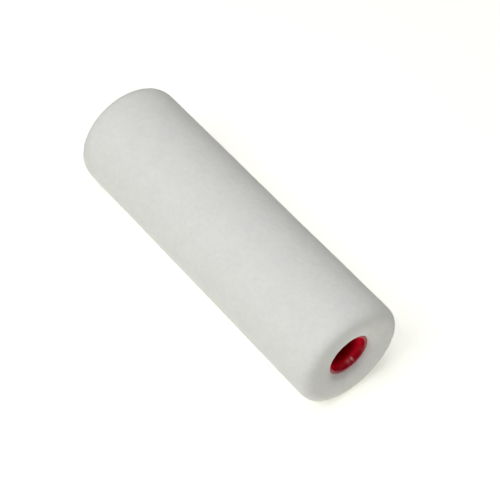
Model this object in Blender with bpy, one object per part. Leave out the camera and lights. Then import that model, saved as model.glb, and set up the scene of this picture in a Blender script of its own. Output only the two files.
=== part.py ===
"""Mini paint-roller cover (refill): a flocked foam sleeve on a plastic core, with a moulded cap in each end.

The roller's axis is Y, its middle is the origin, and +Z is up when it lies on its side. The open end,
which a frame's 6 mm wire enters, faces -Y and is the front. The far end is closed.

Each piece is one turned solid. Outlines are (radius, y) points on one side of the axis. They are drawn
for an end that faces +Y, and `front` turns an outline round to face -Y.

From the outside in: flock nap, foam sleeve, adhesive film, core tube, the two end caps, and the bearing
sleeve. The slotted middle of the bearing sleeve grips the wire, and the caps turn on the sleeve.
"""

import math

import bmesh
import bpy
from mathutils import Matrix

# Driving dimensions, in metres
LENGTH = 0.1115  # overall, end to end
OUTER_R = 0.0175  # over the flock
CORE_R = 0.0076
WIRE_R = 0.003  # the frame's wire, which isn't part of this object

HALF = LENGTH / 2

# Soft layers
FLOCK = 0.0006  # the nap's thickness
SOFT_GAP = 0.0001  # between the nap and the foam
LIP_R = 0.0072  # the hole in the foam's end, over the cap
LIP_DEPTH = 0.0019  # how far the cap's hole draws the foam's end in
LIP_ROUND = 0.0051  # how far the drawn-in part reaches out from the hole
LIP_FOOT = 0.0004  # how far the soft layers go down into the hole below that
FRONT_ROUND = (0.0042, 3.2)  # an outer corner's radius and squareness, which is 2 on a plain arc
REAR_ROUND = (0.0052, 2.6)
ADHESIVE_R = (CORE_R + 0.00005, CORE_R + 0.00025)
ADHESIVE_SETBACK = 0.001  # from the core tube's ends

# Core tube and the caps pressed into its ends
CORE_BORE_R = 0.0068
CAP_FACE = HALF - 0.0018  # y of each cap's outer face
FLANGE_R = 0.0071
FLANGE_THICKNESS = 0.0012
SEAT_GAP = 0.0003  # under the flange
CORE_HALF = CAP_FACE - FLANGE_THICKNESS - SEAT_GAP
PLUG_R = 0.0065
WALL = 0.0008  # of the caps' skirts and hubs
WEB = 0.0010  # of the caps' floors
SKIRT_LENGTH = 0.0100
RIB_R = 0.0067  # crush ribs bite at the tube's bore
RIB_COUNT = 8
RIB_WIDTH = 0.0008
RIB_LEAD = 0.0015
HUB_END = 0.038  # y where each cap's hub ends inside the tube
EDGE = 0.0002  # small moulded edges
CHAMFER = 0.0003
DISH_MOUTH_R = 0.0063
DISH_DEPTH = 0.0055
DISH_FLOOR_R = 0.0047  # a shoulder on the frame's wire seats on the dish's floor
DISH_FILLET = (0.0005, 0.0010)  # radial, axial
DISH_NECK = (0.00545, 0.0024)  # radius and depth of the flared mouth's inner end
THROAT_R = 0.0041
REAR_DISH = (0.0058, 0.0012)  # radius and depth of the closed cap's dish
GATE = (0.0011, 0.0004)  # radius and depth of its moulding dimple

# Bearing sleeve: it stays still on the wire, and the caps turn on it
RUNNING_GAP = 0.0001
JOURNAL_R = THROAT_R - RUNNING_GAP
WIRE_BORE_R = WIRE_R + 0.0001
TRUNNION_R = 0.0030
TRUNNION_TIP = CAP_FACE - 0.0060
COLLAR_R = 0.0054
COLLAR_WIDTH = 0.0015
THRUST_GAP = 0.0004
MOUTH_SETBACK = 0.0004  # the sleeve's mouth, below the dish's floor
LEAD_IN = 0.0004
BORE_BOTTOM = 0.0350  # y of the wire's stop
DRILL_POINT = 0.0012
GRIP_Y = 0.0200  # the ridge that snaps into the wire's neck
RIDGE = 0.0002
RIDGE_HALF = 0.0004
RIDGE_RAMP = 0.0007
SLOT_WIDTH = 0.0010
SLOT_LENGTH = 0.0160
SLOT_COUNT = 4

SOFT_SEGMENTS = 32
HARD_SEGMENTS = 36
SMOOTH_ANGLE = math.radians(35)


def clear_scene():
    for obj in list(bpy.data.objects):
        bpy.data.objects.remove(obj, do_unlink=True)


def material(name, color, roughness):
    mat = bpy.data.materials.new(name)
    mat.use_nodes = True
    shader = mat.node_tree.nodes["Principled BSDF"]
    shader.inputs["Base Color"].default_value = (*color, 1.0)
    shader.inputs["Roughness"].default_value = roughness
    shader.inputs["Metallic"].default_value = 0.0
    return mat


# Outlines


def arc(centre, radii, start, end, steps, squareness=2.0):
    """Points on a superellipse's arc in the (radius, y) plane, angles in degrees from the +radius direction."""
    points = []
    for i in range(steps + 1):
        angle = math.radians(start + (end - start) * i / steps)
        point = []
        for middle, reach, part in zip(centre, radii, (math.cos(angle), math.sin(angle))):
            point.append(middle + reach * math.copysign(abs(part) ** (2 / squareness), part))
        points.append(tuple(point))
    return points


def front(outline):
    """The same outline for the end that faces -Y."""
    return [(r, -y) for r, y in reversed(outline)]


def soft_end(rounding, inset):
    """One end of the soft layers from the hole's lip, over the flat, to the side, moved in by inset."""
    radius, squareness = rounding
    lip_centre = (LIP_R + LIP_ROUND, HALF - LIP_DEPTH)
    lip = arc(lip_centre, (LIP_ROUND - inset, LIP_DEPTH - inset), 180, 90, 6)
    reach = radius - inset
    corner = arc((OUTER_R - radius, HALF - radius), (reach, reach), 90, 0, 7, squareness)
    return lip + corner


def soft_outline(inset):
    """The soft layers' outer surface, moved in by inset, from the rear hole to the front one."""
    foot = (LIP_R + inset, HALF - LIP_DEPTH - LIP_FOOT)
    rear = [foot] + soft_end(REAR_ROUND, inset)
    return rear + front([foot] + soft_end(FRONT_ROUND, inset))


# Solids


def turned(name, outline, segments, mat, parent):
    """A solid of revolution about Y from a closed outline. A flat facet, not a corner, is lowest."""
    mesh = bpy.data.meshes.new(name)
    bm = bmesh.new()
    verts = [bm.verts.new((r, y, 0.0)) for r, y in outline]
    edges = [bm.edges.new((a, b)) for a, b in zip(verts, verts[1:] + verts[:1])]
    bmesh.ops.spin(
        bm,
        geom=verts + edges,
        cent=(0, 0, 0),
        axis=(0, 1, 0),
        angle=2 * math.pi,
        steps=segments,
        use_merge=True,
    )
    bmesh.ops.remove_doubles(bm, verts=bm.verts[:], dist=1e-7)
    bmesh.ops.dissolve_degenerate(bm, edges=bm.edges[:], dist=1e-7)
    bmesh.ops.rotate(bm, verts=bm.verts[:], matrix=Matrix.Rotation(math.pi / segments, 3, "Y"))
    bmesh.ops.recalc_face_normals(bm, faces=bm.faces[:])
    bm.to_mesh(mesh)
    bm.free()
    mesh.materials.append(mat)
    mesh.shade_smooth()
    mesh.set_sharp_from_angle(angle=SMOOTH_ANGLE)
    obj = bpy.data.objects.new(name, mesh)
    bpy.context.collection.objects.link(obj)
    obj.parent = parent
    return obj


def radial_boxes(name, count, radii, width, ends):
    """Boxes that point out from the axis, evenly round it, as one helper mesh."""
    mesh = bpy.data.meshes.new(name)
    bm = bmesh.new()
    for i in range(count):
        box = bmesh.ops.create_cube(bm, size=1.0)["verts"]
        size = Matrix.Diagonal((radii[1] - radii[0], ends[1] - ends[0], width, 1.0))
        place = Matrix.Translation((sum(radii) / 2, sum(ends) / 2, 0.0))
        turn = Matrix.Rotation(2 * math.pi * (i + 0.5) / count, 4, "Y")
        bmesh.ops.transform(bm, verts=box, matrix=turn @ place @ size)
    bm.to_mesh(mesh)
    bm.free()
    helper = bpy.data.objects.new(name, mesh)
    bpy.context.collection.objects.link(helper)
    helper.hide_render = True
    helper.display_type = "WIRE"
    return helper


def boolean(obj, helper, operation):
    modifier = obj.modifiers.new(helper.name, "BOOLEAN")
    modifier.operation = operation
    modifier.object = helper


# Pieces


def make_flock_nap(mat, parent):
    return turned("flock_nap", soft_outline(0.0) + soft_outline(FLOCK)[::-1], SOFT_SEGMENTS, mat, parent)


def make_foam_sleeve(mat, parent):
    return turned("foam_sleeve", soft_outline(FLOCK + SOFT_GAP), SOFT_SEGMENTS, mat, parent)


def make_tube(name, radii, half, mat, parent):
    inner, outer = radii
    outline = [(inner, -half), (outer, -half), (outer, half), (inner, half)]
    return turned(name, outline, SOFT_SEGMENTS, mat, parent)


def flange_and_skirt(mouth_r, web_y):
    """A cap from its face's inner edge, round the rim, down the skirt and up inside it to the web."""
    shoulder = CAP_FACE - FLANGE_THICKNESS
    skirt_end = CAP_FACE - SKIRT_LENGTH
    rim = arc((FLANGE_R - EDGE, CAP_FACE - EDGE), (EDGE, EDGE), 90, 0, 3)
    return [(mouth_r + EDGE, CAP_FACE)] + rim + [
        (FLANGE_R, shoulder),
        (PLUG_R, shoulder),
        (PLUG_R, skirt_end + CHAMFER),
        (PLUG_R - CHAMFER, skirt_end),
        (PLUG_R - WALL, skirt_end),
        (PLUG_R - WALL, web_y),
    ]


def hub(bore_r, web_y, bore_top):
    """A cap's hub from the web, down its outside and up its bore to bore_top."""
    return [
        (bore_r + WALL, web_y),
        (bore_r + WALL, HUB_END),
        (bore_r + CHAMFER, HUB_END),
        (bore_r, HUB_END + CHAMFER),
        (bore_r, bore_top),
    ]


def add_crush_ribs(cap, toward):
    """Ribs along the skirt. toward is -1 for the front cap and 1 for the rear one."""
    low = CAP_FACE - SKIRT_LENGTH + RIB_LEAD
    high = CAP_FACE - FLANGE_THICKNESS / 2
    ends = sorted((toward * low, toward * high))
    ribs = radial_boxes(cap.name + "_ribs", RIB_COUNT, (PLUG_R - WALL / 2, RIB_R), RIB_WIDTH, ends)
    boolean(cap, ribs, "UNION")


def make_front_end_cap(mat, parent):
    """The open cap: a deep dish whose floor seats the wire's shoulder, round a throat that is the bearing."""
    floor_y = CAP_FACE - DISH_DEPTH
    web_y = floor_y - WEB
    fillet_r, fillet_y = DISH_FILLET
    fillet = arc((DISH_FLOOR_R, floor_y + fillet_y), (fillet_r, fillet_y), 270, 360, 5)
    neck_r, neck_depth = DISH_NECK
    mouth = [(neck_r, CAP_FACE - neck_depth), (DISH_MOUTH_R, CAP_FACE - EDGE)]
    dish = [(THROAT_R + EDGE, floor_y)] + fillet + mouth
    outline = flange_and_skirt(DISH_MOUTH_R, web_y) + hub(THROAT_R, web_y, floor_y - EDGE) + dish
    cap = turned("front_end_cap", front(outline), HARD_SEGMENTS, mat, parent)
    add_crush_ribs(cap, -1)
    return cap


def make_rear_end_cap(mat, parent):
    """The closed cap: a shallow dish with a moulding dimple outside, and a blind bearing inside."""
    dish_r, dish_depth = REAR_DISH
    gate_r, gate_depth = GATE
    floor_y = CAP_FACE - dish_depth
    web_y = floor_y - WEB
    bore_r = TRUNNION_R + RUNNING_GAP
    bore_top = TRUNNION_TIP + THRUST_GAP
    dimple = arc((0.0, floor_y), (gate_r, gate_depth), 270, 360, 3)
    fillet = arc((dish_r - dish_depth, CAP_FACE - EDGE), (dish_depth, dish_depth - EDGE), 270, 360, 4)
    outline = flange_and_skirt(dish_r, web_y) + hub(bore_r, web_y, bore_top)
    outline += [(0.0, bore_top)] + dimple + fillet
    cap = turned("rear_end_cap", outline, HARD_SEGMENTS, mat, parent)
    add_crush_ribs(cap, 1)
    return cap


def make_bearing_sleeve(mat, parent):
    """From its mouth in the front cap to the solid trunnion in the rear one."""
    mouth = -(CAP_FACE - DISH_DEPTH - MOUTH_SETBACK)
    collar = HUB_END - THRUST_GAP
    outside = [
        (JOURNAL_R - EDGE, mouth),
        (JOURNAL_R, mouth + EDGE),
        (JOURNAL_R, -collar),
        (COLLAR_R, -collar),
        (COLLAR_R, -collar + COLLAR_WIDTH),
        (JOURNAL_R, -collar + COLLAR_WIDTH),
        (JOURNAL_R, collar - COLLAR_WIDTH),
        (COLLAR_R, collar - COLLAR_WIDTH),
        (COLLAR_R, collar),
        (TRUNNION_R, collar),
        (TRUNNION_R, TRUNNION_TIP - CHAMFER),
        (TRUNNION_R - CHAMFER, TRUNNION_TIP),
        (0.0, TRUNNION_TIP),
    ]
    bore = [
        (0.0, BORE_BOTTOM + DRILL_POINT),
        (WIRE_BORE_R, BORE_BOTTOM),
        (WIRE_BORE_R, GRIP_Y + RIDGE_HALF + RIDGE_RAMP),
        (WIRE_BORE_R - RIDGE, GRIP_Y + RIDGE_HALF),
        (WIRE_BORE_R - RIDGE, GRIP_Y - RIDGE_HALF),
        (WIRE_BORE_R, GRIP_Y - RIDGE_HALF - RIDGE_RAMP),
        (WIRE_BORE_R, mouth + LEAD_IN),
        (WIRE_BORE_R + LEAD_IN / 2, mouth),
    ]
    sleeve = turned("bearing_sleeve", outside + bore, HARD_SEGMENTS, mat, parent)
    slot_ends = (GRIP_Y - SLOT_LENGTH / 2, GRIP_Y + SLOT_LENGTH / 2)
    slots = radial_boxes("sleeve_slots", SLOT_COUNT, (WIRE_R / 2, COLLAR_R), SLOT_WIDTH, slot_ends)
    boolean(sleeve, slots, "DIFFERENCE")
    return sleeve


def main():
    clear_scene()
    spindle = bpy.data.objects.new("spindle", None)
    roller = bpy.data.objects.new("roller", None)
    for empty in (spindle, roller):
        bpy.context.collection.objects.link(empty)
    roller.parent = spindle

    flock = material("flock_white", (0.80, 0.80, 0.78), 0.95)
    foam = material("foam_cream", (0.80, 0.77, 0.68), 0.95)
    glue = material("hot_melt", (0.75, 0.66, 0.45), 0.4)
    core = material("core_natural", (0.78, 0.78, 0.75), 0.45)
    red = material("cap_red", (0.60, 0.004, 0.014), 0.3)
    dark_red = material("bearing_red", (0.42, 0.004, 0.012), 0.35)

    make_flock_nap(flock, roller)
    make_foam_sleeve(foam, roller)
    make_tube("adhesive_film", ADHESIVE_R, CORE_HALF - ADHESIVE_SETBACK, glue, roller)
    make_tube("core_tube", (CORE_BORE_R, CORE_R), CORE_HALF, core, roller)
    make_front_end_cap(red, roller)
    make_rear_end_cap(red, roller)
    make_bearing_sleeve(dark_red, spindle)


main()
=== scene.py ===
"""A flocked foam mini-roller cover lying on a pale studio floor.

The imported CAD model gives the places. Each of its nodes is replaced here by a finer piece of the same size:
the nap with its fibres, the foam, the adhesive, the core tube, the two red caps and the bearing sleeve.
The roller's axis is Y, and its open front end faces -Y.
"""

import math

import bmesh
import bpy
import numpy as np
from mathutils import Matrix, Vector, noise


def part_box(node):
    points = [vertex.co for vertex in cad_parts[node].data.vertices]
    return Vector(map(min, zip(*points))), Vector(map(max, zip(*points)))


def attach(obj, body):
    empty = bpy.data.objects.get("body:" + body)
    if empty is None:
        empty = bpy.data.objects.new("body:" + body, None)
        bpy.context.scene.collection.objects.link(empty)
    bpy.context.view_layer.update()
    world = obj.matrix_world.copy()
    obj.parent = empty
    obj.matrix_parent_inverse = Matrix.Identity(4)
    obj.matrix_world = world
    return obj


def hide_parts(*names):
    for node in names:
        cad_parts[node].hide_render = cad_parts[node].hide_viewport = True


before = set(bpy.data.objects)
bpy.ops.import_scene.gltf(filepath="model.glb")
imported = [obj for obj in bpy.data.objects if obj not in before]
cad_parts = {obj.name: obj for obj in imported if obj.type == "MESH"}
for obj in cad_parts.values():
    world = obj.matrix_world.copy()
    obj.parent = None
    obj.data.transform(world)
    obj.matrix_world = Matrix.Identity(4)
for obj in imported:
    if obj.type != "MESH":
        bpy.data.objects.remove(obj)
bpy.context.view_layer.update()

TAU = 2 * math.pi
MM = 0.001
SMOOTH_ANGLE = math.radians(38)

# Sizes read from the frame


def radii(node):
    """The smallest and largest distance of a node's corners from the Y axis."""
    reach = [math.hypot(v.co.x, v.co.z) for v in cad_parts[node].data.vertices]
    return min(reach), max(reach)


def end(node):
    """How far a node reaches along +Y."""
    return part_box(node)[1].y


HALF = end("flock_nap")
OUTER_R = radii("flock_nap")[1]
LIP_R = radii("flock_nap")[0]
CAP_FACE = end("rear_end_cap")
FLANGE_R = radii("front_end_cap")[1]
THROAT_R = radii("front_end_cap")[0]
CORE_BORE_R, CORE_R = radii("core_tube")
CORE_HALF = end("core_tube")
ADHESIVE_R = radii("adhesive_film")
ADHESIVE_HALF = end("adhesive_film")
TRUNNION_TIP = end("bearing_sleeve")
COLLAR_R = radii("bearing_sleeve")[1]
FLOOR_GAP = 0.2 * MM
FLOOR_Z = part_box("flock_nap")[0].z - FLOOR_GAP

# Sizes that the frame doesn't list. Pairs are (radius, depth), unless they say otherwise.
FLOCK = 0.6 * MM
SOFT_GAP = 0.1 * MM
LIP_DEPTH = 1.9 * MM
LIP_ROUND = 5.1 * MM
LIP_FOOT = 0.4 * MM
FRONT_ROUND = (4.2 * MM, 3.2)  # radius and squareness of the outer corner
REAR_ROUND = (5.2 * MM, 2.6)
FLANGE_THICKNESS = 1.2 * MM
PLUG_R = 6.5 * MM
RIB_R = 6.7 * MM
RIB_COUNT = 8
RIB_WIDTH = 0.8 * MM
WALL = 0.8 * MM
WEB = 1.0 * MM
SKIRT_LENGTH = 10.0 * MM
HUB_END = 38.0 * MM
DISH_MOUTH_R = 6.3 * MM
DISH_DEPTH = 5.5 * MM
DISH_FLOOR_R = 4.7 * MM
DISH_FILLET = (0.5 * MM, 1.0 * MM)
DISH_NECK = (5.45 * MM, 2.4 * MM)
NECK_FILLET = 8.0 * MM
REAR_DISH = (5.8 * MM, 1.2 * MM)
GATE = (1.1 * MM, 0.4 * MM)
RUNNING_GAP = 0.1 * MM
WIRE_BORE_R = 3.1 * MM
TRUNNION_R = 3.0 * MM
COLLAR_WIDTH = 1.5 * MM
THRUST_GAP = 0.4 * MM
MOUTH_SETBACK = 0.4 * MM
BORE_BOTTOM = 35.0 * MM
GRIP_Y = 20.0 * MM
SLOT_LENGTH = 16.0 * MM

SEED = 11
TINY = 1e-9
LIP_STEPS = 24
CORNER_STEPS = 40
LONGEST_TRIM = 0.48  # the share of an edge that a fillet may take
TURNED_SEGMENTS = 96
CAP_SEGMENTS = 144


# Outlines: (radius, y) points on one side of the axis


def arc(centre, reach, start, stop, steps, squareness=2.0):
    """Points on a superellipse's arc, with angles in degrees from the +radius direction."""
    points = []
    for i in range(steps + 1):
        angle = math.radians(start + (stop - start) * i / steps)
        point = []
        for middle, size, part in zip(centre, reach, (math.cos(angle), math.sin(angle))):
            point.append(middle + size * math.copysign(abs(part) ** (2 / squareness), part))
        points.append(tuple(point))
    return points


def front(outline):
    """The same outline for the end that faces -Y."""
    return [(r, -y) for r, y in reversed(outline)]


def filleted(corners, steps=4):
    """A closed outline whose corners, given as (radius, y, fillet), are rounded."""
    outline = []
    count = len(corners)
    for i, (r, y, fillet) in enumerate(corners):
        here = Vector((r, y))
        back = Vector(corners[i - 1][:2]) - here
        ahead = Vector(corners[(i + 1) % count][:2]) - here
        if fillet <= 0 or back.length < TINY or ahead.length < TINY:
            outline.append((r, y))
            continue
        half_angle = back.angle(ahead) / 2
        reach = min(fillet / math.tan(half_angle), back.length * LONGEST_TRIM, ahead.length * LONGEST_TRIM)
        start, stop = here + back.normalized() * reach, here + ahead.normalized() * reach
        for k in range(steps + 1):
            t = k / steps
            point = start * (1 - t) ** 2 + here * 2 * t * (1 - t) + stop * t**2
            outline.append(tuple(point))
    return outline


def resampled(outline, spacing):
    """An open outline with its points evenly spread."""
    points = np.array(outline)
    steps = np.hypot(*np.diff(points, axis=0).T)
    along = np.concatenate([[0], np.cumsum(steps)])
    at = np.linspace(0, along[-1], max(2, round(along[-1] / spacing)) + 1)
    return [tuple(p) for p in np.stack([np.interp(at, along, points[:, k]) for k in (0, 1)], axis=1)]


def soft_end(rounding, inset):
    """One end of the soft layers: down in the hole, over the lip and the flat face, to the side."""
    radius, squareness = rounding
    foot = (LIP_R + inset, HALF - LIP_DEPTH - LIP_FOOT)
    lip_centre = (LIP_R + LIP_ROUND, HALF - LIP_DEPTH)
    lip = arc(lip_centre, (LIP_ROUND - inset, LIP_DEPTH - inset), 180, 90, LIP_STEPS)
    reach = radius - inset
    corner = arc((OUTER_R - radius, HALF - radius), (reach, reach), 90, 0, CORNER_STEPS, squareness)
    return [foot] + lip + corner


def soft_outline(inset, spacing):
    """The soft layers' whole outline, from the rear hole to the front one, this far under the nap's face."""
    whole = soft_end(REAR_ROUND, inset) + front(soft_end(FRONT_ROUND, inset))
    return resampled(whole, spacing)


# Meshes


def new_object(name, mesh):
    mesh.shade_smooth()
    mesh.set_sharp_from_angle(angle=SMOOTH_ANGLE)
    obj = bpy.data.objects.new(name, mesh)
    bpy.context.collection.objects.link(obj)
    return obj


def lathe(name, outline, segments, shape=None):
    """A closed solid turned about Y. shape, if given, moves each corner from (radius, y, angle)."""
    verts, rings = [], []
    for r, y in outline:
        if r < TINY:
            rings.append([len(verts)] * segments)
            verts.append((0.0, y, 0.0))
            continue
        rings.append(list(range(len(verts), len(verts) + segments)))
        for k in range(segments):
            angle = TAU * (k + 0.5) / segments
            radius, height = shape(r, y, angle) if shape else (r, y)
            verts.append((radius * math.cos(angle), height, -radius * math.sin(angle)))
    faces = []
    for a, b in zip(rings, rings[1:] + rings[:1]):
        for k in range(segments):
            m = (k + 1) % segments
            corners = list(dict.fromkeys((a[k], a[m], b[m], b[k])))
            if len(corners) > 2:
                faces.append(corners)
    mesh = bpy.data.meshes.new(name)
    mesh.from_pydata(verts, [], faces)
    bm = bmesh.new()
    bm.from_mesh(mesh)
    bmesh.ops.recalc_face_normals(bm, faces=bm.faces[:])
    bm.to_mesh(mesh)
    bm.free()
    return new_object(name, mesh)


# Materials


class Nodes:
    """A short way to write a node tree on a Principled material."""

    def __init__(self, name, color, roughness, **sockets):
        self.material = bpy.data.materials.new(name)
        self.material.use_nodes = True
        self.tree = self.material.node_tree
        self.shader = self.tree.nodes["Principled BSDF"]
        self.shader.inputs["Base Color"].default_value = (*color, 1.0)
        self.shader.inputs["Roughness"].default_value = roughness
        for key, value in sockets.items():
            self.shader.inputs[key.replace("_", " ")].default_value = value
        self.place = self.add("ShaderNodeTexCoord").outputs["Object"]

    def add(self, kind, links=None, **settings):
        node = self.tree.nodes.new(kind)
        for key, value in settings.items():
            setattr(node, key, value)
        for key, value in (links or {}).items():
            socket = node.inputs[key]
            if isinstance(value, bpy.types.NodeSocket):
                self.tree.links.new(value, socket)
            else:
                socket.default_value = value
        return node

    def noise(self, size, detail=3.0, roughness=0.5, vector=None):
        """Noise whose features are about size metres across."""
        links = {"Vector": vector or self.place, "Scale": 1 / size, "Detail": detail, "Roughness": roughness}
        return self.add("ShaderNodeTexNoise", links).outputs["Fac"]

    def ramp(self, value, stops):
        """A colour ramp. stops are (position, colour)."""
        node = self.add("ShaderNodeValToRGB", {"Fac": value})
        elements = node.color_ramp.elements
        while len(elements) < len(stops):
            elements.new(0.5)
        for element, (position, color) in zip(elements, stops):
            element.position = position
            element.color = (*color, 1.0)
        return node.outputs["Color"]

    def span(self, value, low, high):
        """value, from 0 to 1, mapped to low to high."""
        links = {"Value": value, "To Min": low, "To Max": high}
        return self.add("ShaderNodeMapRange", links).outputs["Result"]

    def depth(self, surface, low, high):
        """From 0 to 1 between two depths under the caps' faces, both in metres."""
        along = self.add("ShaderNodeSeparateXYZ", {"Vector": self.place}).outputs["Y"]
        below = self.maths("SUBTRACT", surface, self.maths("ABSOLUTE", along))
        links = {"Value": below, "From Min": low, "From Max": high}
        return self.add("ShaderNodeMapRange", links).outputs["Result"]

    def maths(self, operation, *values):
        """The result of a Math node on numbers or sockets."""
        return self.add("ShaderNodeMath", dict(enumerate(values)), operation=operation).outputs[0]

    def mix(self, amount, a, b):
        """Colour a, or colour b where amount is 1."""
        node = self.add("ShaderNodeMix", {"Factor": amount}, data_type="RGBA")
        for key, value in (("A", a), ("B", b)):
            socket = [s for s in node.inputs if s.name == key and s.type == "RGBA"][0]
            if isinstance(value, bpy.types.NodeSocket):
                self.tree.links.new(value, socket)
            else:
                socket.default_value = (*value, 1.0)
        return [s for s in node.outputs if s.type == "RGBA"][0]

    def color(self, socket):
        self.tree.links.new(socket, self.shader.inputs["Base Color"])

    def rough(self, socket):
        self.tree.links.new(socket, self.shader.inputs["Roughness"])

    def bump(self, height, distance, strength=1.0):
        links = {"Height": height, "Distance": distance, "Strength": strength}
        bump = self.add("ShaderNodeBump", links)
        self.tree.links.new(bump.outputs["Normal"], self.shader.inputs["Normal"])


NAP_SPECULAR = 0.05
CAP_SPECULAR = 0.22
BEARING_SPECULAR = 0.25


def flock_material():
    nodes = Nodes("flock", (0.80, 0.80, 0.78), 0.95, Specular_IOR_Level=NAP_SPECULAR)
    clumps = nodes.noise(1.3 * MM, 4.0, 0.6)
    fine = nodes.noise(0.35 * MM, 2.0, 0.6)
    drift = nodes.noise(6 * MM, 2.5)
    tone = nodes.ramp(clumps, [(0.28, (0.750, 0.753, 0.722)), (0.72, (0.838, 0.845, 0.816))])
    tint = nodes.ramp(drift, [(0.35, (0.778, 0.79, 0.77)), (0.65, (0.822, 0.825, 0.795))])
    nodes.color(nodes.mix(0.5, tone, tint))
    nodes.rough(nodes.span(fine, 0.88, 1.0))
    height = nodes.maths("ADD", nodes.maths("MULTIPLY", clumps, 0.6), nodes.maths("MULTIPLY", fine, 0.4))
    nodes.bump(height, 0.14 * MM, 0.7)
    return nodes.material


def fibre_material():
    # The fibres are the nap's flock painted darker: painted shade that darkens the nap's edges, where they are
    # seen side-on
    nodes = Nodes("flock_fibre", (0.64, 0.645, 0.63), 0.9, Specular_IOR_Level=NAP_SPECULAR)
    shade = nodes.noise(0.6 * MM)
    nodes.color(nodes.ramp(shade, [(0.3, (0.58, 0.583, 0.565)), (0.7, (0.70, 0.705, 0.69))]))
    return nodes.material


def foam_material():
    nodes = Nodes("foam", (0.80, 0.77, 0.68), 0.95)
    cells = nodes.add("ShaderNodeTexVoronoi", {"Vector": nodes.place, "Scale": 1 / (0.45 * MM)})
    pores = nodes.maths("POWER", cells.outputs["Distance"], 0.7)
    nodes.color(nodes.ramp(pores, [(0.0, (0.50, 0.46, 0.38)), (0.55, (0.82, 0.79, 0.70))]))
    nodes.bump(pores, 0.15 * MM, 0.9)
    return nodes.material


def glue_material():
    nodes = Nodes("hot_melt", (0.75, 0.66, 0.45), 0.4)
    film = nodes.noise(2.5 * MM, 4.0)
    nodes.color(nodes.ramp(film, [(0.3, (0.62, 0.50, 0.30)), (0.7, (0.80, 0.72, 0.52))]))
    nodes.rough(nodes.span(film, 0.25, 0.55))
    nodes.bump(film, 0.1 * MM, 0.6)
    return nodes.material


def core_material():
    nodes = Nodes("core", (0.78, 0.78, 0.75), 0.45)
    stretched = nodes.add("ShaderNodeMapping", {"Vector": nodes.place, "Scale": (1.0, 0.04, 1.0)})
    lines = nodes.noise(0.5 * MM, 3.0, vector=stretched.outputs["Vector"])
    nodes.color(nodes.ramp(lines, [(0.3, (0.72, 0.72, 0.69)), (0.7, (0.82, 0.82, 0.79))]))
    nodes.rough(nodes.span(lines, 0.35, 0.55))
    nodes.bump(lines, 0.02 * MM, 0.6)
    return nodes.material


# The red the caps reflect, with painted light and shade in it, from the face (0) down to the depth set below
# (1): painted shade at the rim and deep in the dish, painted light on the dish's wall between
PAINTED_SHADING_BY_DEPTH = [(0.06, 0.45), (0.16, 0.60), (0.30, 0.92), (0.42, 0.95), (0.52, 0.75), (0.62, 0.62), (0.84, 0.35)]
PAINTED_SHADING_DEPTH = 5.0 * MM
GREEN_PER_RED = 0.012
BLUE_PER_RED = 0.048


def red_material():
    """Glossy red, with painted shade at the cap's rim and deep in its dish, and painted light on the dish's wall
    between.
    """
    nodes = Nodes("cap_red", (0.70, 0.008, 0.030), 0.2, Specular_IOR_Level=CAP_SPECULAR)
    flow = nodes.noise(4 * MM, 3.0)
    grain = nodes.noise(0.12 * MM, 2.0)
    stops = [(share, (red, red * GREEN_PER_RED, red * BLUE_PER_RED)) for share, red in PAINTED_SHADING_BY_DEPTH]
    # Painted light and shade by depth in the dish: shade at the rim and deep down, light on the wall between
    tone = nodes.ramp(nodes.depth(CAP_FACE, 0.0, PAINTED_SHADING_DEPTH), stops)
    nodes.color(nodes.mix(nodes.span(flow, 0.0, 0.16), tone, (0.40, 0.004, 0.016)))
    nodes.rough(nodes.span(nodes.noise(0.8 * MM, 4.0), 0.10, 0.15))
    nodes.bump(grain, 0.012 * MM, 0.25)
    return nodes.material


def bearing_material():
    # The sleeve is the caps' red painted darker, as painted shade for the throat of the front cap's dish
    nodes = Nodes("bearing_red", (0.42, 0.003, 0.011), 0.35, Specular_IOR_Level=BEARING_SPECULAR)
    flow = nodes.noise(2 * MM, 3.0)
    nodes.color(nodes.ramp(flow, [(0.3, (0.38, 0.002, 0.009)), (0.7, (0.46, 0.004, 0.013))]))
    nodes.rough(nodes.span(flow, 0.28, 0.45))
    nodes.bump(nodes.noise(0.15 * MM, 2.0), 0.01 * MM, 0.5)
    return nodes.material


# Soft pieces

SKIN_SPACING = 0.5 * MM
SKIN_SEGMENTS = 232
LINING_SPACING = 2.5 * MM
SOFTENING = 1.3 * MM
SOFTENING_REACH = 20  # rings of the skin on each side

# Unevenness of the nap's surface: its scale, its height and how far its noise is shifted
UNEVENNESS = [
    (19 * MM, 0.09 * MM, (0, 0, 0)),
    (1.5 * MM, 0.060 * MM, (0, 0, 0)),
    (0.7 * MM, 0.030 * MM, (7, 3, 5)),
]


def unevenness(x, y, z):
    """How far the nap's surface stands out at a point: a slow wander, clumps and a fine grain."""
    point = Vector((x, y, z))
    return sum(noise.noise(point / scale + Vector(shift)) * height for scale, height, shift in UNEVENNESS)


def on_skin(r, y, angle):
    """The point at a radius, a height along the axis and an angle round it."""
    return r * math.cos(angle), y, -r * math.sin(angle)


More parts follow.
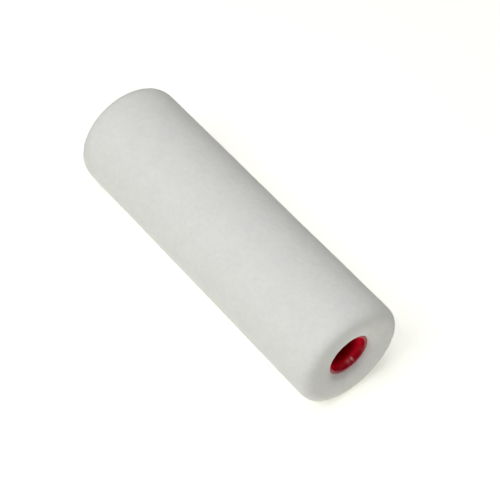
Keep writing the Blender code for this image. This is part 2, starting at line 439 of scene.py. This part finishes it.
def soften_shading(mesh, skin):
    """Lets the fanned-out fibres round the shading of the nap's corners more than its outline."""
    points = np.array(skin)
    step = np.gradient(points, axis=0)
    tilt = np.unwrap(np.arctan2(step[:, 0], -step[:, 1]))
    reach = np.arange(-SOFTENING_REACH, SOFTENING_REACH + 1)
    weight = np.exp(-0.5 * (reach * SKIN_SPACING / SOFTENING) ** 2)
    padded = np.pad(tilt, len(reach) // 2, mode="edge")
    soft = np.convolve(padded, weight / weight.sum(), mode="valid")
    normals = np.empty(len(mesh.vertices) * 3)
    mesh.vertices.foreach_get("normal", normals)
    normals = normals.reshape(-1, 3)
    skin_count = len(skin) * SKIN_SEGMENTS
    angle = TAU * (np.arange(SKIN_SEGMENTS) + 0.5) / SKIN_SEGMENTS
    out = np.stack([np.cos(angle), np.zeros(SKIN_SEGMENTS), -np.sin(angle)], axis=1)
    change = (np.cos(soft) - np.cos(tilt))[:, None, None] * out[None]
    change[..., 1] = (np.sin(soft) - np.sin(tilt))[:, None]
    normals[:skin_count] += change.reshape(-1, 3)
    normals /= np.linalg.norm(normals, axis=1)[:, None]
    mesh.normals_split_custom_set_from_vertices(normals.tolist())


BULGE = 0.4 * MM
BULGE_REACH = 3.0 * MM
BULGE_ANGLE = math.radians(199)
AXIAL_SHARE = 0.7  # how much of the unevenness points along the axis on the roller's ends


def lip_bulge(r, y, angle):
    """How far the front lip's nap leans in over the cap, on one side of the hole."""
    near = max(0.0, 1 - (r - LIP_R) / BULGE_REACH)
    if y > BULGE_REACH - HALF or near <= 0:
        return 0.0
    return BULGE * near * max(0.0, math.cos(angle - BULGE_ANGLE)) ** 2


def make_nap(material):
    """The nap's closed skin: an uneven outer face and a plain lining against the foam."""
    skin = soft_outline(0.0, SKIN_SPACING)
    lining = soft_outline(FLOCK, LINING_SPACING)[::-1]
    skin_points = set(skin)
    corner = FRONT_ROUND[0]

    def shape(r, y, angle):
        if (r, y) not in skin_points:
            return r, y
        out = unevenness(*on_skin(r, y, angle))
        lean = min(1.0, max(0.0, abs(y) - (HALF - corner)) / corner)
        side = -1.0 if r < OUTER_R - corner else 1.0
        radius = r + out * (1 - AXIAL_SHARE * lean) * side - lip_bulge(r, y, angle)
        return radius, y + math.copysign(out, y) * lean * AXIAL_SHARE

    nap = lathe("nap_skin", skin + lining, SKIN_SEGMENTS, shape)
    nap.data.materials.append(material)
    soften_shading(nap.data, skin)
    return nap


def surface_point(outline, along, where):
    """The place and outward normal on an open outline at a distance along it."""
    r = np.interp(where, along, outline[:, 0])
    y = np.interp(where, along, outline[:, 1])
    step = 0.3 * MM
    dr = np.interp(where + step, along, outline[:, 0]) - np.interp(where - step, along, outline[:, 0])
    dy = np.interp(where + step, along, outline[:, 1]) - np.interp(where - step, along, outline[:, 1])
    size = np.hypot(dr, dy)
    return r, y, -dy / size, dr / size


FIBRE_COUNT = 49000
FIBRE_LENGTH = (0.15 * MM, 0.45 * MM)
FIBRE_RADIUS = 0.018 * MM
FIBRE_ROOT = 0.12 * MM
FIBRE_LEAN = 0.75
FIBRE_MARGIN = 2.0 * MM


def make_fibres(material):
    """The nap's longest fibres, as closed spikes that stand out of the skin."""
    rng = np.random.default_rng(SEED)
    outline = np.array(soft_outline(0.0, SKIN_SPACING))
    along = np.concatenate([[0], np.cumsum(np.hypot(*np.diff(outline, axis=0).T))])
    mid = (along[1:] + along[:-1]) / 2
    weight = np.diff(along) * (outline[1:, 0] + outline[:-1, 0]) / 2
    cell = rng.choice(len(mid), FIBRE_COUNT, p=weight / weight.sum())
    where = mid[cell] + (rng.random(FIBRE_COUNT) - 0.5) * SKIN_SPACING
    where = np.clip(where, FIBRE_MARGIN, along[-1] - FIBRE_MARGIN)
    r, y, normal_r, normal_y = surface_point(outline, along, where)
    angle = rng.random(FIBRE_COUNT) * TAU
    c, s = np.cos(angle), -np.sin(angle)
    place = np.stack([r * c, y, r * s], axis=1)
    normal = np.stack([normal_r * c, normal_y, normal_r * s], axis=1)
    lift = np.array([unevenness(*p) for p in place])
    place = place + normal * lift[:, None]
    lean = rng.normal(size=(FIBRE_COUNT, 3)) * FIBRE_LEAN
    point = normal + lean - normal * np.sum(lean * normal, axis=1)[:, None]
    point /= np.linalg.norm(point, axis=1)[:, None]
    length = rng.uniform(*FIBRE_LENGTH, FIBRE_COUNT)
    side = np.cross(point, rng.normal(size=(FIBRE_COUNT, 3)))
    side /= np.linalg.norm(side, axis=1)[:, None]
    other = np.cross(point, side)
    root = place - point * FIBRE_ROOT
    corners = [place + point * length[:, None]]
    for k in range(3):
        turn = TAU * k / 3
        corners.append(root + FIBRE_RADIUS * (math.cos(turn) * side + math.sin(turn) * other))
    verts = np.stack(corners, axis=1).reshape(-1, 3)
    base = np.arange(FIBRE_COUNT)[:, None] * 4
    pattern = np.array([[0, 1, 2], [0, 2, 3], [0, 3, 1], [3, 2, 1]])
    faces = (base[:, None, :] + pattern[None, :, :]).reshape(-1, 3)
    mesh = bpy.data.meshes.new("nap_fibres")
    mesh.from_pydata(verts.tolist(), [], faces.tolist())
    mesh.materials.append(material)
    obj = bpy.data.objects.new("nap_fibres", mesh)
    bpy.context.collection.objects.link(obj)
    mesh.shade_smooth()
    return obj


FOAM_SPACING = 1.0 * MM
FOAM_SEGMENTS = 120
CELL_SIZE = 0.9 * MM
CELL_DEPTH = 0.06 * MM


def make_foam(material):
    """The foam tube under the nap, with an open-celled skin."""

    def shape(r, y, angle):
        cells = noise.noise(Vector(on_skin(r, y, angle)) / CELL_SIZE)
        return r + (cells - 0.5) * CELL_DEPTH, y

    foam = lathe("foam_core", soft_outline(FLOCK + SOFT_GAP, FOAM_SPACING), FOAM_SEGMENTS, shape)
    foam.data.materials.append(material)
    return foam


# Hard pieces


CORE_EDGE = 0.15 * MM
FILM_ROWS = 90
FILM_SCALE = 3 * MM
FILM_THINNING = 0.04 * MM


def make_core(material):
    corners = [(CORE_BORE_R, -1), (CORE_R, -1), (CORE_R, 1), (CORE_BORE_R, 1)]
    core = lathe("core", filleted([(r, side * CORE_HALF, CORE_EDGE) for r, side in corners], 3), TURNED_SEGMENTS)
    core.data.materials.append(material)
    return core


def make_adhesive(material):
    """The adhesive film, thinner in some places than in others."""
    inner, outer = ADHESIVE_R
    half = ADHESIVE_HALF
    wall = [(outer, half - 2 * half * i / FILM_ROWS) for i in range(FILM_ROWS + 1)]

    def shape(r, y, angle):
        film = noise.noise(Vector(on_skin(r, y, angle)) / FILM_SCALE)
        return (r - FILM_THINNING * (0.5 + film), y) if r > (inner + outer) / 2 else (r, y)

    film = lathe("adhesive_coat", wall + [(inner, -half), (inner, half)], TURNED_SEGMENTS, shape)
    film.data.materials.append(material)
    return film


RIB_START = 1.0 * MM  # from the skirt's end
RIB_LEAD = 1.5 * MM
RIB_REACH = 0.6  # half a rib's width at its foot, over RIB_WIDTH
RIB_SHARPNESS = 4
NEAR = 0.05 * MM


def ribbed(r, y, angle):
    """Swells the skirt's outer wall into crush ribs."""
    low = CAP_FACE - SKIRT_LENGTH + RIB_START
    high = CAP_FACE - FLANGE_THICKNESS - NEAR
    if abs(r - PLUG_R) > NEAR or not low < abs(y) < high:
        return r, y
    pitch = TAU / RIB_COUNT
    away = abs((angle + pitch / 2) % pitch - pitch / 2) * r
    rise = max(0.0, 1 - (away / (RIB_WIDTH * RIB_REACH)) ** RIB_SHARPNESS)
    lead = min(1.0, (abs(y) - low) / RIB_LEAD)
    return r + (RIB_R - PLUG_R) * rise * lead, y


SKIRT_ROWS = 12
SKIRT_TOP_GAP = 0.3 * MM
SKIRT_END_GAP = 0.5 * MM


def skirt(mouth_r, web_y):
    """A cap's corners from its face's inner edge, over the flange, down the skirt and up inside it."""
    shoulder = CAP_FACE - FLANGE_THICKNESS
    skirt_end = CAP_FACE - SKIRT_LENGTH
    drop = (shoulder - skirt_end - SKIRT_TOP_GAP - SKIRT_END_GAP) / SKIRT_ROWS
    wall = [(PLUG_R, shoulder - SKIRT_TOP_GAP - drop * i, 0.0) for i in range(SKIRT_ROWS + 1)]
    return [
        (mouth_r, CAP_FACE, 0.22 * MM),
        (FLANGE_R, CAP_FACE, 0.28 * MM),
        (FLANGE_R, shoulder, 0.15 * MM),
        (PLUG_R, shoulder, 0.05 * MM),
        *wall,
        (PLUG_R, skirt_end, 0.3 * MM),
        (PLUG_R - WALL, skirt_end, 0.15 * MM),
        (PLUG_R - WALL, web_y, 0.4 * MM),
    ]


def hub(bore_r, web_y):
    """A cap's corners down the outside of its hub, round its end and into its bore."""
    return [
        (bore_r + WALL, web_y, 0.4 * MM),
        (bore_r + WALL, HUB_END, 0.15 * MM),
        (bore_r, HUB_END, 0.25 * MM),
    ]


CAP_FILLET_STEPS = 6
DISH_FILLET_STEPS = 14
THROAT_EDGE = 0.22 * MM


def make_front_cap(material):
    """The cap with the deep dish, whose mouth flares out from its neck."""
    floor_y = CAP_FACE - DISH_DEPTH
    web_y = floor_y - WEB
    neck_r, neck_depth = DISH_NECK
    wall = arc((DISH_FLOOR_R, floor_y + DISH_FILLET[1]), DISH_FILLET, 270, 360, DISH_FILLET_STEPS)
    corners = skirt(DISH_MOUTH_R, web_y) + hub(THROAT_R, web_y)
    corners += [(THROAT_R, floor_y, THROAT_EDGE)] + [(r, y, 0.0) for r, y in wall]
    corners.append((neck_r, CAP_FACE - neck_depth, NECK_FILLET))
    cap = lathe("front_cap", front(filleted(corners, CAP_FILLET_STEPS)), CAP_SEGMENTS, ribbed)
    cap.data.materials.append(material)
    return cap


GATE_FLOOR = 0.6  # the gate mark's flat middle, over its radius
DISH_DRAFT = 0.3 * MM


def make_rear_cap(material):
    """The closed cap, with a shallow dish, a gate mark in its middle and a blind bore for the trunnion."""
    dish_r, dish_depth = REAR_DISH
    gate_r, gate_depth = GATE
    floor_y = CAP_FACE - dish_depth
    web_y = floor_y - WEB
    bore_r = TRUNNION_R + RUNNING_GAP
    bore_top = TRUNNION_TIP + THRUST_GAP
    corners = skirt(dish_r, web_y) + hub(bore_r, web_y)
    corners += [
        (bore_r, bore_top, 0.2 * MM),
        (0.0, bore_top, 0.0),
        (0.0, floor_y - gate_depth, 0.0),
        (gate_r * GATE_FLOOR, floor_y - gate_depth, 0.4 * MM),
        (gate_r, floor_y, 0.25 * MM),
        (dish_r - DISH_DRAFT, floor_y, 0.9 * MM),
    ]
    cap = lathe("rear_cap", filleted(corners, CAP_FILLET_STEPS), CAP_SEGMENTS, ribbed)
    cap.data.materials.append(material)
    return cap


SLOT_COUNT = 4
SLOT_CUT = (4.0 * MM, SLOT_LENGTH, 1.0 * MM)
SLOT_R = 3.6 * MM
GRIP_RISE = 0.2 * MM
GRIP_HALF = 0.4 * MM  # half the ridge's crest
GRIP_FOOT = 1.1 * MM  # half the ridge's foot
BORE_POINT = 1.2 * MM  # how much deeper the bore's end is at its middle


def slot_cutters():
    """Boxes that stand round the sleeve where its slots are cut."""
    bm = bmesh.new()
    for k in range(SLOT_COUNT):
        box = bmesh.ops.create_cube(bm, size=1.0)["verts"]
        size = Matrix.Diagonal((*SLOT_CUT, 1.0))
        shift = Matrix.Translation((SLOT_R, GRIP_Y, 0.0))
        turn = Matrix.Rotation(TAU * (k + 0.5) / SLOT_COUNT, 4, "Y")
        bmesh.ops.transform(bm, verts=box, matrix=turn @ shift @ size)
    mesh = bpy.data.meshes.new("slots")
    bm.to_mesh(mesh)
    bm.free()
    slots = bpy.data.objects.new("slots", mesh)
    bpy.context.collection.objects.link(slots)
    return slots


def make_bearing(material):
    """The inner sleeve, with slots that let its middle spring open over the wire."""
    journal = THROAT_R - RUNNING_GAP
    mouth = -(CAP_FACE - DISH_DEPTH - MOUTH_SETBACK)
    collar = HUB_END - THRUST_GAP
    corners = [
        (journal, mouth, 0.2 * MM),
        (journal, -collar, 0.1 * MM),
        (COLLAR_R, -collar, 0.2 * MM),
        (COLLAR_R, -collar + COLLAR_WIDTH, 0.2 * MM),
        (journal, -collar + COLLAR_WIDTH, 0.2 * MM),
        (journal, collar - COLLAR_WIDTH, 0.2 * MM),
        (COLLAR_R, collar - COLLAR_WIDTH, 0.2 * MM),
        (COLLAR_R, collar, 0.2 * MM),
        (TRUNNION_R, collar, 0.1 * MM),
        (TRUNNION_R, TRUNNION_TIP, 0.3 * MM),
        (0.0, TRUNNION_TIP, 0.0),
        (0.0, BORE_BOTTOM + BORE_POINT, 0.0),
        (WIRE_BORE_R, BORE_BOTTOM, 0.3 * MM),
        (WIRE_BORE_R, GRIP_Y + GRIP_FOOT, 0.2 * MM),
        (WIRE_BORE_R - GRIP_RISE, GRIP_Y + GRIP_HALF, 0.2 * MM),
        (WIRE_BORE_R - GRIP_RISE, GRIP_Y - GRIP_HALF, 0.2 * MM),
        (WIRE_BORE_R, GRIP_Y - GRIP_FOOT, 0.2 * MM),
        (WIRE_BORE_R, mouth, 0.3 * MM),
    ]
    sleeve = lathe("bearing_liner", filleted(corners, 4), TURNED_SEGMENTS)
    slots = slot_cutters()
    cut = sleeve.modifiers.new("slots", "BOOLEAN")
    cut.operation = "DIFFERENCE"
    cut.object = slots
    graph = bpy.context.evaluated_depsgraph_get()
    whole = bpy.data.meshes.new_from_object(sleeve.evaluated_get(graph))
    sleeve.modifiers.clear()
    sleeve.data = whole
    whole.set_sharp_from_angle(angle=SMOOTH_ANGLE)
    bpy.data.objects.remove(slots, do_unlink=True)
    whole.materials.clear()
    whole.materials.append(material)
    return sleeve


# Studio

AZIMUTH = math.radians(-38.03)
ELEVATION = math.radians(51.58)
DISTANCE = 0.5687
LENS = 136.9
SENSOR = 36
CLIP = (0.05, 20)
AIM = (5.19 * MM, -3.51 * MM)  # right and up from the roller's middle
ROLL = math.radians(0.12)


def camera_axes():
    """The camera's right, up and backward directions."""
    back = Vector(
        (
            math.sin(AZIMUTH) * math.cos(ELEVATION),
            -math.cos(AZIMUTH) * math.cos(ELEVATION),
            math.sin(ELEVATION),
        )
    )
    right = Matrix.Rotation(ROLL, 3, back) @ Vector((math.cos(AZIMUTH), math.sin(AZIMUTH), 0.0))
    return right, back.cross(right), back


def make_camera():
    right, up, back = camera_axes()
    data = bpy.data.cameras.new("camera")
    data.lens = LENS
    data.sensor_width = SENSOR
    camera = bpy.data.objects.new("camera", data)
    bpy.context.collection.objects.link(camera)
    camera.matrix_world = Matrix((right, up, back)).transposed().to_4x4()
    camera.location = right * AIM[0] + up * AIM[1] + back * DISTANCE
    data.clip_start, data.clip_end = CLIP
    bpy.context.scene.camera = camera


# Azimuth and elevation in degrees, distance and size in metres, and power in watts
LIGHTS = {
    "left_high": (-90, 55, 0.9, 0.5, 3.2),
    "overhead": (0, 89, 0.9, 0.6, 3.6),
    "spark": (-52, 60, 0.9, 0.06, 0.5),
}
HORIZON = 0.15
BAND = [(0.13, (1.0, 1.0, 0.97, 1.0)), (0.20, (0.0, 0.0, 0.0, 1.0))]  # the sine of the height, and the colour
FLOOR_REACH = 3.0
FLOOR_GLOW = (0.42, 0.95)  # strength near the roller and far from it
FLOOR_FADE = (0.35, 1.5)  # the distances between which the glow changes
# The paper's glow colour: warm painted light, which also tints the roller's shaded face
PAPER_GLOW = (1.0, 0.99, 0.86, 1.0)


def make_light(name, azimuth, elevation, distance, size, power):
    a, e = math.radians(azimuth), math.radians(elevation)
    toward = Vector((math.sin(a) * math.cos(e), -math.cos(a) * math.cos(e), math.sin(e)))
    data = bpy.data.lights.new(name, "AREA")
    data.shape = "DISK"
    data.size = size
    data.energy = power
    light = bpy.data.objects.new(name, data)
    bpy.context.collection.objects.link(light)
    light.location = toward * distance
    light.rotation_euler = toward.to_track_quat("Z", "Y").to_euler()


def make_horizon():
    """A pale band round the horizon, dark above it."""
    world = bpy.data.worlds.new("studio")
    bpy.context.scene.world = world
    world.use_nodes = True
    tree = world.node_tree
    background = tree.nodes["Background"]
    background.inputs["Strength"].default_value = HORIZON
    height = tree.nodes.new("ShaderNodeSeparateXYZ")
    tree.links.new(tree.nodes.new("ShaderNodeTexCoord").outputs["Generated"], height.inputs["Vector"])
    band = tree.nodes.new("ShaderNodeValToRGB")
    tree.links.new(height.outputs["Z"], band.inputs["Fac"])
    for element, (position, color) in zip(band.color_ramp.elements, BAND):
        element.position = position
        element.color = color
    tree.links.new(band.outputs["Color"], background.inputs["Color"])


def paper_material():
    """White paper with a faint glow of its own, as painted light: it stays pale where the roller's shadow falls,
    and its warm glow lights the roller from below.
    """
    paper = Nodes("paper", (0.93, 0.93, 0.93), 0.9)
    paper.color(paper.ramp(paper.noise(40 * MM), [(0.3, (0.925, 0.925, 0.925)), (0.7, (0.935, 0.935, 0.935))]))
    paper.shader.inputs["Emission Color"].default_value = PAPER_GLOW
    distance = paper.add("ShaderNodeVectorMath", {0: paper.place}, operation="LENGTH").outputs["Value"]
    links = {"Value": distance, "From Min": FLOOR_FADE[0], "From Max": FLOOR_FADE[1]}
    links |= {"To Min": FLOOR_GLOW[0], "To Max": FLOOR_GLOW[1]}
    glow = paper.add("ShaderNodeMapRange", links).outputs["Result"]
    paper.tree.links.new(glow, paper.shader.inputs["Emission Strength"])
    return paper.material


def make_floor():
    mesh = bpy.data.meshes.new("floor")
    corners = [(x * FLOOR_REACH, y * FLOOR_REACH, FLOOR_Z) for x, y in ((-1, -1), (1, -1), (1, 1), (-1, 1))]
    mesh.from_pydata(corners, [], [(0, 1, 2, 3)])
    mesh.materials.append(paper_material())
    floor = bpy.data.objects.new("floor", mesh)
    bpy.context.collection.objects.link(floor)


def make_studio():
    make_horizon()
    for name, settings in LIGHTS.items():
        make_light(name, *settings)
    make_floor()
    view = bpy.context.scene.view_settings
    view.view_transform = "Standard"
    view.look = "None"
    view.exposure = 0.0
    view.gamma = 1.0


def place(piece, body, slot, *nodes):
    """Sets a finished piece on its body, standing for its CAD nodes. The slot argument is not used."""
    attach(piece, body)
    if nodes:
        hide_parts(*nodes)


def main():
    make_camera()
    make_studio()
    red = red_material()
    nap = make_nap(flock_material())
    place(nap, "roller", "flock", "flock_nap")
    place(make_fibres(fibre_material()), "roller", "flock")
    foam = make_foam(foam_material())
    place(foam, "roller", "foam", "foam_sleeve")
    place(make_adhesive(glue_material()), "roller", "adhesive", "adhesive_film")
    place(make_core(core_material()), "roller", "core", "core_tube")
    place(make_front_cap(red), "roller", "cap", "front_end_cap")
    place(make_rear_cap(red), "roller", "cap", "rear_end_cap")
    place(make_bearing(bearing_material()), "spindle", "bearing", "bearing_sleeve")


main()
